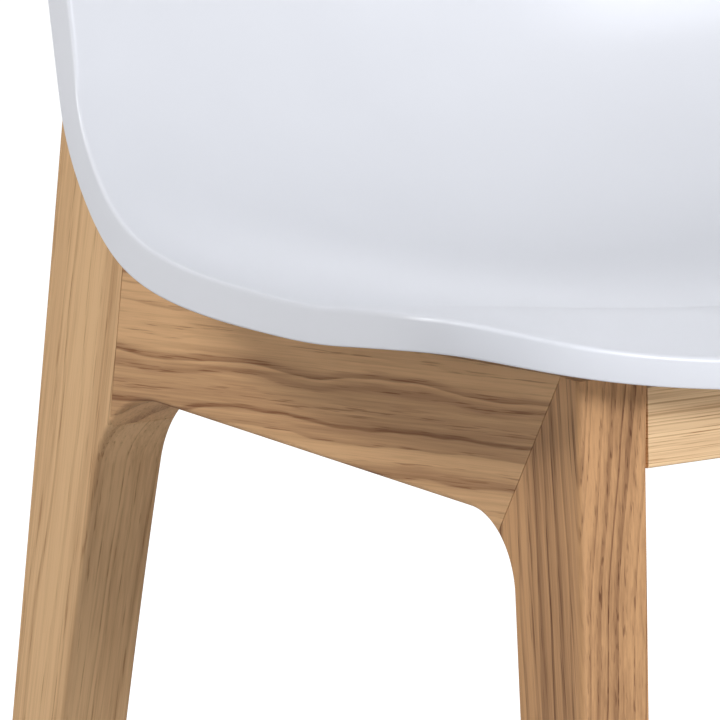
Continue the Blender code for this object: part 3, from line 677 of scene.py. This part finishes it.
def line_meets_circle(point, way, centre, radius):
    way = Vector(way).normalized()
    to_centre = Vector(centre) - Vector(point)
    along = to_centre.dot(way)
    across = to_centre.length_squared - along * along
    return Vector(point) + way * (along - math.sqrt(radius * radius - across))


def bow(start, control, end, steps):
    points = []
    for k in range(steps + 1):
        t = k / steps
        points.append(Vector(start) * (1 - t) ** 2 + Vector(control) * 2 * t * (1 - t) + Vector(end) * t * t)
    return points


def soft(points):
    return [(Vector(point), "soft") for point in points]


def hard(points):
    return [(Vector(point), "hard") for point in points]


print("template helpers ready")

# %% [markdown]
# A board is cut in one go from its template. Runs marked soft get a rounding of a few flat strips,
# fine enough to shine as one curve.

# %% Cut a board from its template
EDGE_ROUNDING = 0.0025
STRIPS = 6


def round_over(bm, edges, size, strips):
    bmesh.ops.recalc_face_normals(bm, faces=bm.faces)
    bmesh.ops.bevel(bm, geom=edges, offset=size, segments=strips, profile=0.5, affect="EDGES")


def cut_board(name, outline, x_from, x_to, finish, square_near=()):
    bm = bmesh.new()
    sheets = [[bm.verts.new((x, FRONT_Y + p.x, p.y)) for p, _ in outline] for x in (x_from, x_to)]
    near, far = sheets
    edges = []
    for k, (_, run) in enumerate(outline):
        after = (k + 1) % len(outline)
        bm.faces.new((near[k], near[after], far[after], far[k]))
        if run == "soft":
            if k not in square_near:
                edges.append(bm.edges.get((near[k], near[after])))
            edges.append(bm.edges.get((far[k], far[after])))
    bm.faces.new(near)
    bm.faces.new(far)
    round_over(bm, edges, EDGE_ROUNDING, STRIPS)
    level_normals(make_piece(name, bm, [name.removeprefix("ash_")], finish))


print(f"edges rounded by {EDGE_ROUNDING * 1000} mm in {STRIPS} strips")

# %% [markdown]
# The measures of the side frame, each as a distance back from the front corner and a height.

# %% The side frame's template
FRONT_LEG_FRONT = ((-0.0040, 0.439), (-0.0157, 0.0))
FRONT_LEG_BACK = ((0.0434, 0.3760), (0.0140, 0.0))
FRONT_FILLET = 0.031
MITRE_TOP = (0.0077, 0.439)
MITRE_SLOPE = 1.591
REAR_CORNER = (0.3297, 0.3745)
REAR_LEG_FRONT = ((0.3387, 0.340), (0.3670, 0.230), (0.4085, 0.0))
REAR_LEG_BACK = ((0.3621, 0.490), (0.3788, 0.370), (0.4376, 0.0))
REAR_FILLET = 0.046
RAIL_TOP = 0.4265
RAIL_LEVEL_FROM = 0.150
REAR_JOINT_TOP = (0.3185, RAIL_TOP)
REAR_JOINT_SLOPE = 0.148
STUB_SHOULDER = (0.3147, 0.4535)
STUB_TOP = (0.3445, 0.4860)

FILLET_STEPS, WIDE_FILLET_STEPS, BOW_STEPS = 16, 20, 28

front_round = fillet(REAR_CORNER, FRONT_LEG_BACK[0], FRONT_LEG_BACK[1], FRONT_FILLET)
rear_round = fillet(FRONT_LEG_BACK[0], REAR_CORNER, REAR_LEG_FRONT[0], REAR_FILLET)
mitre_foot = line_meets_circle(MITRE_TOP, (1, -MITRE_SLOPE), front_round[0], FRONT_FILLET)
rear_foot = line_meets_circle(REAR_JOINT_TOP, (REAR_JOINT_SLOPE, -1), rear_round[0], REAR_FILLET)


def front_leg_outline(rail_low):
    rounded = arc(front_round[0], mitre_foot, front_round[2], FILLET_STEPS)
    back = on_line(FRONT_LEG_BACK, LEG_BOTTOM)
    front = on_line(FRONT_LEG_FRONT, LEG_BOTTOM)
    under_rail = on_line(FRONT_LEG_FRONT, rail_low)
    outline = hard([MITRE_TOP]) + soft(rounded) + hard([back]) + soft([front]) + soft([under_rail])
    return hard([FRONT_LEG_FRONT[0]]) + outline


def side_rail_outline():
    clear_of_mitre = Vector((MITRE_SLOPE, 1)).normalized() * GAP
    clear_of_leg = Vector((-GAP, 0))
    front_arc = arc(front_round[0], mitre_foot + clear_of_mitre, front_round[1], FILLET_STEPS)
    rear_arc = arc(rear_round[0], rear_round[1], rear_foot + clear_of_leg, WIDE_FILLET_STEPS)
    outline = soft(front_arc + rear_arc[:-1])
    mitre_top = Vector(MITRE_TOP) + Vector((GAP * 1.2, 0))
    joint_top = Vector(REAR_JOINT_TOP) + clear_of_leg
    return outline + hard([rear_arc[-1], joint_top, (RAIL_LEVEL_FROM, RAIL_TOP), mitre_top])


def rear_leg_outline():
    leg_front = bow(rear_round[2], REAR_LEG_FRONT[1], REAR_LEG_FRONT[2], BOW_STEPS)
    leg_front[-1] = on_line(leg_front[-2:], LEG_BOTTOM)
    leg_back = bow(*REAR_LEG_BACK, BOW_STEPS)
    leg_back[-1] = on_line(leg_back[-2:], LEG_BOTTOM)
    rounded = arc(rear_round[0], rear_foot, rear_round[2], WIDE_FILLET_STEPS)
    outline = hard([STUB_SHOULDER]) + soft(rounded[:-1] + leg_front[:-1]) + hard([leg_front[-1]])
    return outline + soft(leg_back[::-1][:-1]) + soft([REAR_LEG_BACK[0], STUB_TOP])


print(f"rear round {REAR_FILLET * 1000:.0f} mm, front round {FRONT_FILLET * 1000:.0f} mm")

# %% [markdown]
# The front leg has one more fine point. Its inner front edge is rounded below the front rail but
# square beside it, so that the rail meets it flush with no groove.

# %% Cut the six boards of the side frames
for side, sign in SIDES.items():
    inner, outer = sign * INNER_X, sign * HALF_FRAME
    leg_outline = front_leg_outline(low("front_rail").z)
    beside_rail = (len(leg_outline) - 1,)
    cut_board(f"ash_front_leg_{side}", leg_outline, inner, outer, ASH[f"front_leg_{side}"], beside_rail)
    cut_board(f"ash_side_rail_{side}", side_rail_outline(), inner, outer, ASH[f"side_rail_{side}"])
    cut_board(f"ash_rear_leg_{side}", rear_leg_outline(), inner, outer, ASH[f"rear_leg_{side}"])
print("side frames cut")

# %% [markdown]
# Two cross rails tie the side frames together: a shaped one behind the front edge, flush with the
# legs and leaning back as they do, and a plain one under the back.

# %% Cut the two cross rails
def cut_cross_rail(name, y_z, soft_corners, rounding, finish):
    bm = bmesh.new()
    reach = INNER_X - GAP
    ends = [[bm.verts.new((x, FRONT_Y + y, z)) for y, z in y_z] for x in (-reach, reach)]
    for k in range(len(y_z)):
        after = (k + 1) % len(y_z)
        bm.faces.new((ends[0][k], ends[0][after], ends[1][after], ends[1][k]))
    edges = [bm.edges.get((ends[0][k], ends[1][k])) for k in soft_corners]
    bm.faces.new(ends[0])
    bm.faces.new(ends[1])
    round_over(bm, edges, rounding, 5)
    level_normals(make_piece("ash_" + name, bm, [name], finish))


front_low, front_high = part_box("front_rail")
rear_low, rear_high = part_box("rear_rail")
rail_back = front_high.y - FRONT_Y
front_plan = [(rail_back, front_low.z), tuple(on_line(FRONT_LEG_FRONT, front_low.z))]
front_plan += [tuple(on_line(FRONT_LEG_FRONT, front_high.z)), (rail_back, front_high.z)]
cut_cross_rail("front_rail", front_plan, (0, 1), rounding=0.0015, finish=ASH["front_rail"])
y_from, y_to = rear_low.y - FRONT_Y, rear_high.y - FRONT_Y
rear_plan = [(y_from, rear_low.z), (y_to, rear_low.z), (y_to, rear_high.z), (y_from, rear_high.z)]
cut_cross_rail("rear_rail", rear_plan, (0, 1, 2, 3), rounding=0.002, finish=ASH["rear_rail"])
print(f"cross rails cut, {front_high.z - front_low.z:.4f} and {rear_high.z - rear_low.z:.4f} m deep")

# %% [markdown]
# The blocks, dowels and tongues are plain beech: pale, close and even, with short fibres.

# %% The beech finish
def beech():
    finish, tree, shader = new_finish("plain_beech")
    place = add(tree, "ShaderNodeTexCoord").outputs["Object"]
    drawn = vectors(tree, "MULTIPLY", place, (60, 420, 420))
    fibre = add(tree, "ShaderNodeTexNoise", {"Vector": drawn, "Scale": 1.0, "Detail": 3.0}).outputs[0]
    broad = add(tree, "ShaderNodeTexNoise", {"Vector": place, "Scale": 40.0, "Detail": 1.0}).outputs[0]
    mix = sums(tree, "ADD", times(tree, fibre, 0.7), times(tree, broad, 0.3))
    color = ramp(tree, mix, ((0.3, tone(196, 152, 112)), (0.7, tone(222, 184, 146))))
    tree.links.new(color, shader.inputs["Base Color"])
    tree.links.new(sums(tree, "ADD", 0.55, times(tree, fibre, 0.15)), shader.inputs["Roughness"])
    emboss(tree, shader, fibre, 0.3, 0.0001)
    return finish


print("beech recipe ready")

# %% [markdown]
# The other small pieces are one material each, but none is a single flat colour: a fine grain varies
# the shade, the shine and the surface a little, as plating, turning and moulding do.

# %% The metals, the rubber and the nylon
def plain(name, dark, light, rough, metallic=0.0, relief=0.00003):
    finish, tree, shader = new_finish(name)
    place = add(tree, "ShaderNodeTexCoord").outputs["Object"]
    grain = add(tree, "ShaderNodeTexNoise", {"Vector": place, "Scale": 600.0, "Detail": 3.0}).outputs[0]
    tree.links.new(ramp(tree, grain, ((0.3, dark), (0.7, light))), shader.inputs["Base Color"])
    tree.links.new(sums(tree, "ADD", rough, times(tree, grain, 0.12)), shader.inputs["Roughness"])
    emboss(tree, shader, grain, 0.4, relief)
    shader.inputs["Metallic"].default_value = metallic
    return finish


SMALL = {
    "beech": beech(),
    "zinc_steel": plain("zinc_plated_steel", (0.50, 0.51, 0.53), (0.66, 0.67, 0.69), 0.26, 1.0),
    "brass": plain("turned_brass", (0.66, 0.48, 0.20), (0.80, 0.62, 0.32), 0.28, 1.0),
    "black_rubber": plain("black_rubber", (0.018, 0.018, 0.019), (0.035, 0.035, 0.037), 0.70, relief=0.00008),
    "nylon": plain("grey_nylon", (0.62, 0.61, 0.58), (0.72, 0.71, 0.68), 0.42),
}
print("small finishes:", sorted(SMALL))

# %% [markdown]
# The blocks with their screw pockets, and the joinery that lies inside the timber, are shown as the
# frame has them. They only need their finish.

# %% Finish the pieces kept from the frame
KINDS = {"corner_block": "beech", "dowel": "beech", "tenon": "beech", "insert": "brass"}
finished = 0
for name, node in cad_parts.items():
    for word, slot in KINDS.items():
        if word in name:
            node.data.materials.clear()
            node.data.materials.append(SMALL[slot])
            finished += 1
print("pieces kept from the frame:", finished)

# %% [markdown]
# The hardware below the seat is small but close to the eye when the chair is turned over, so it is
# turned again with rounded edges. Three profiles are enough for most of it: a quarter round for the
# edge of a disc, a flat ring, and a screw with a domed head, a socket and a thread.

# %% Profiles for turning
SOCKET_EDGE = 1.25  # the socket's mouth is this much wider than the socket
THREAD_PITCH, THREAD_DEPTH = 0.0005, 0.00035


def half_width(name):
    return (high(name).x - low(name).x) / 2


def tall(name):
    return high(name).z - low(name).z


def rounded_edge(along, radius, size, way):
    """A quarter round on a disc's rim: way 1 opens outwards from the start, -1 closes to the end."""
    rows = []
    for turn in np.radians(np.linspace(0, 90, 5)):
        rows.append((along + size * (1 - math.cos(turn)), radius - size * (1 - math.sin(turn))))
    return rows if way > 0 else [(2 * along + size - row[0], row[1]) for row in reversed(rows)]


def flat_ring(name, bore, edge):
    radius, thick = half_width(name), tall(name)
    profile = [(edge, bore), (0.0, bore + edge)]
    profile += rounded_edge(0.0, radius, edge, 1)
    profile += rounded_edge(thick - edge, radius, edge, -1)
    return profile + [(thick, bore + edge), (thick - edge, bore)]


def screw_profile(radius, head_radius, head, length, socket, sunk):
    rows = [(sunk, socket * 0.3, True), (sunk, socket, True)]
    rows += [(0.0002, socket, True), (0.0, socket * SOCKET_EDGE)]
    for turn in np.radians(np.arange(5, 90, 10)):
        dome = head_radius * (0.55 + 0.45 * math.sin(turn))
        rows.append((head * (1 - math.cos(turn)) * 0.85 + 0.0001, dome))
    rows += [(head - 0.0002, head_radius), (head, head_radius - 0.0002), (head, radius)]
    for k in range(int((length - head - 0.002) / THREAD_PITCH)):
        rows.append((head + 0.001 + k * THREAD_PITCH, radius - THREAD_DEPTH * (k % 2)))
    return rows + [(length - 0.001, radius), (length, radius - 0.0008)]


print("points in a quarter round:", len(rounded_edge(0, 0.01, 0.001, 1)))

# %% [markdown]
# A washer and a pad are flat rings, a seat screw runs up through them and the block into the seat's
# brass insert, and a foot is a nylon disc with a rounded rim on a pin. Each stands on the middle of
# the plain piece that it replaces.

# %% Turn the washers, the pads, the seat screws and the feet
SHANK = 0.003
CLEAR = SHANK + 0.0004
DISC = LEG_BOTTOM - GAP
FOOT_ROUND, DISC_TOP_ROUND = 0.0012, 0.0006


def foot_of_axis(name):
    middle = (low(name) + high(name)) / 2
    return Vector((middle.x, middle.y, low(name).z))


def turn_piece(name, profile, slot, tube=False, start=None, way=(0, 0, 1)):
    bm = bmesh.new()
    spin(bm, foot_of_axis(name) if start is None else start, way, profile, tube)
    return make_piece("turned_" + name, bm, [name], SMALL[slot], crease=40)


for end, side in PLACES:
    kinds = ("seat_washer", "seat_pad", "seat_screw", "glide")
    washer, pad, screw, foot = (f"{kind}_{end}_{side}" for kind in kinds)
    turn_piece(washer, flat_ring(washer, CLEAR, edge=0.0003), "zinc_steel", tube=True)
    turn_piece(pad, flat_ring(pad, CLEAR, edge=0.0005), "black_rubber", tube=True)
    sizes = {"head": 0.0036, "length": tall(screw), "socket": 0.0021, "sunk": 0.0020}
    profile = screw_profile(SHANK, half_width(screw), **sizes)
    turn_piece(screw, profile, "zinc_steel")
    profile = rounded_edge(0.0, half_width(foot), FOOT_ROUND, 1)
    profile += rounded_edge(DISC - DISC_TOP_ROUND, half_width(foot), DISC_TOP_ROUND, -1)
    profile += [(DISC, 0.0026), (tall(foot) - 0.001, 0.0020), (tall(foot), 0.0012)]
    turn_piece(foot, profile, "nylon")
print("turned pieces:", 4 * len(PLACES))

# %% [markdown]
# Two wood screws hold each block, one into the cross rail and one into the side board. They lie in
# deep round pockets, and their shanks run to a point.

# %% Turn the wood screws
WOOD_SHANK = 0.002
POINT = 0.004  # length of the point, past the thread
for end, side in PLACES:
    ways = {"a": Vector((0, -1 if end == "front" else 1, 0)), "b": Vector((SIDES[side], 0, 0))}
    for mark, way in ways.items():
        name = f"block_screw_{end}_{side}_{mark}"
        middle = (low(name) + high(name)) / 2
        size = high(name) - low(name)
        length = abs(size.dot(way))
        start = middle - way * length / 2
        sizes = {"head": 0.0026, "length": length - POINT, "socket": 0.0015, "sunk": 0.0012}
        profile = screw_profile(WOOD_SHANK, size.z / 2, **sizes)
        turn_piece(name, profile[:-1] + [(length, 0.0003)], "zinc_steel", start=start, way=way)
print("wood screws:", 2 * len(PLACES))

# %% [markdown]
# The studio floor is plain, pale and very wide. It throws only a middling light back up, so that the
# wood below the seat stays deep, but it is lit up for the eye, so that it looks white.

# %% Floor
FLOOR_HALF = 400.0
FLOOR_GLOW = 0.94


def make_floor():
    bm = bmesh.new()
    bmesh.ops.create_grid(bm, x_segments=2, y_segments=2, size=FLOOR_HALF)
    mesh = bpy.data.meshes.new("studio_floor")
    bm.to_mesh(mesh)
    bm.free()
    floor = bpy.data.objects.new("studio_floor", mesh)
    bpy.context.scene.collection.objects.link(floor)
    finish, tree, shader = new_finish("pale_floor")
    place = add(tree, "ShaderNodeTexCoord").outputs["Object"]
    mottle = add(tree, "ShaderNodeTexNoise", {"Vector": place, "Scale": 3.0, "Detail": 3.0}).outputs[0]
    tree.links.new(ramp(tree, mottle, ((0.3, 0.54), (0.7, 0.57))), shader.inputs["Base Color"])
    shader.inputs["Roughness"].default_value = 0.8
    shader.inputs["Specular IOR Level"].default_value = 0.1
    rays = add(tree, "ShaderNodeLightPath").outputs["Is Camera Ray"]
    shader.inputs["Emission Color"].default_value = (1, 1, 1, 1)
    tree.links.new(times(tree, rays, FLOOR_GLOW), shader.inputs["Emission Strength"])
    floor.data.materials.append(finish)
    return floor


print("floor:", tuple(round(v) for v in make_floor().dimensions))

# %% [markdown]
# The light is soft and comes from round windows, three in front, one on the right and three on the
# left, so the near side is lit while the wood under the seat's rim is in shade. The two that stand
# a little behind are a touch warmer than the rest. The powers began as a fitted answer, and were
# rounded and changed afterwards.

# %% Lights
COOL, MILD = (0.91, 0.935, 1.0), (0.95, 0.96, 1.0)
SEAT_MIDDLE = Vector((0, 0, 0.45))
AWAY = 3.0
# name: azimuth, 0 in front and -90 on the left; elevation; width; power; colour
WINDOWS = {
    "left_window": (-90, 40, 0.35, 13, COOL),
    "front_window": (12, 23, 0.9, 47, COOL),
    "front_low_window": (-10, 4, 0.7, 10, COOL),
    "front_high_window": (10, 42, 1.0, 20, COOL),
    "right_window": (50, 22, 0.9, 5, COOL),
    "left_back_window": (-125, 35, 0.8, 34, MILD),
    "left_low_window": (-112, 12, 0.8, 15, MILD),
}


def softbox(name, azimuth, elevation, size, power, color):
    a, e = math.radians(azimuth), math.radians(elevation)
    way = Vector((math.sin(a) * math.cos(e), -math.cos(a) * math.cos(e), math.sin(e)))
    data = bpy.data.lights.new(name, "AREA")
    data.shape = "DISK"
    data.size = size
    data.energy = power
    data.color = color
    lamp = bpy.data.objects.new(name, data)
    lamp.location = SEAT_MIDDLE + way * AWAY
    lamp.rotation_mode = "QUATERNION"
    lamp.rotation_quaternion = way.to_track_quat("Z", "Y")
    lamp.visible_camera = False
    bpy.context.scene.collection.objects.link(lamp)


for name, window in WINDOWS.items():
    softbox(name, *window)
print("windows:", len(WINDOWS))

# %% [markdown]
# The room itself adds only a faint fill. Its backdrop looks nearly white to the eye, the same as the
# far end of the floor, so that no line shows where the two meet.

# %% Room
ROOM_FILL, BACKDROP = 0.06, 0.975
world = bpy.data.worlds.new("studio_room")
world.use_nodes = True
tree = world.node_tree
tree.nodes.clear()
fill = add(tree, "ShaderNodeBackground", {"Color": (ROOM_FILL, ROOM_FILL, ROOM_FILL, 1), "Strength": 1.0})
seen = add(tree, "ShaderNodeBackground", {"Color": (1, 1, 1, 1), "Strength": BACKDROP})
rays = add(tree, "ShaderNodeLightPath").outputs["Is Camera Ray"]
mixed = add(tree, "ShaderNodeMixShader", {0: rays, 1: fill.outputs[0], 2: seen.outputs[0]})
add(tree, "ShaderNodeOutputWorld", {"Surface": mixed.outputs[0]})
bpy.context.scene.world = world
print("room:", world.name)

# %% [markdown]
# The camera stands far off with a long lens, so that the lines of the frame stay true, and looks at
# the front left corner from a little above seat height.

# %% Camera
AZIMUTH, ELEVATION = -33.0, 12.5
DISTANCE = 12.0
FIELD = 0.2748  # width of the view at the chair
SENSOR = 36
azimuth, elevation = math.radians(AZIMUTH), math.radians(ELEVATION)
back = Vector((
    math.sin(azimuth) * math.cos(elevation),
    -math.cos(azimuth) * math.cos(elevation),
    math.sin(elevation),
))
aim = Vector((-HALF_FRAME - 0.0685, FRONT_Y + 0.0432, FRAME_TOP + 0.0082))
camera_data = bpy.data.cameras.new("studio_camera")
camera = bpy.data.objects.new("studio_camera", camera_data)
bpy.context.scene.collection.objects.link(camera)
camera.location = aim + back * DISTANCE
camera.rotation_mode = "QUATERNION"
camera.rotation_quaternion = back.to_track_quat("Z", "Y")
camera_data.sensor_width = SENSOR
camera_data.lens = SENSOR * DISTANCE / FIELD
camera_data.clip_start, camera_data.clip_end = 1.0, 1000
bpy.context.scene.camera = camera
bpy.context.scene.view_settings.view_transform = "Standard"
print(f"lens {camera_data.lens:.0f} mm")
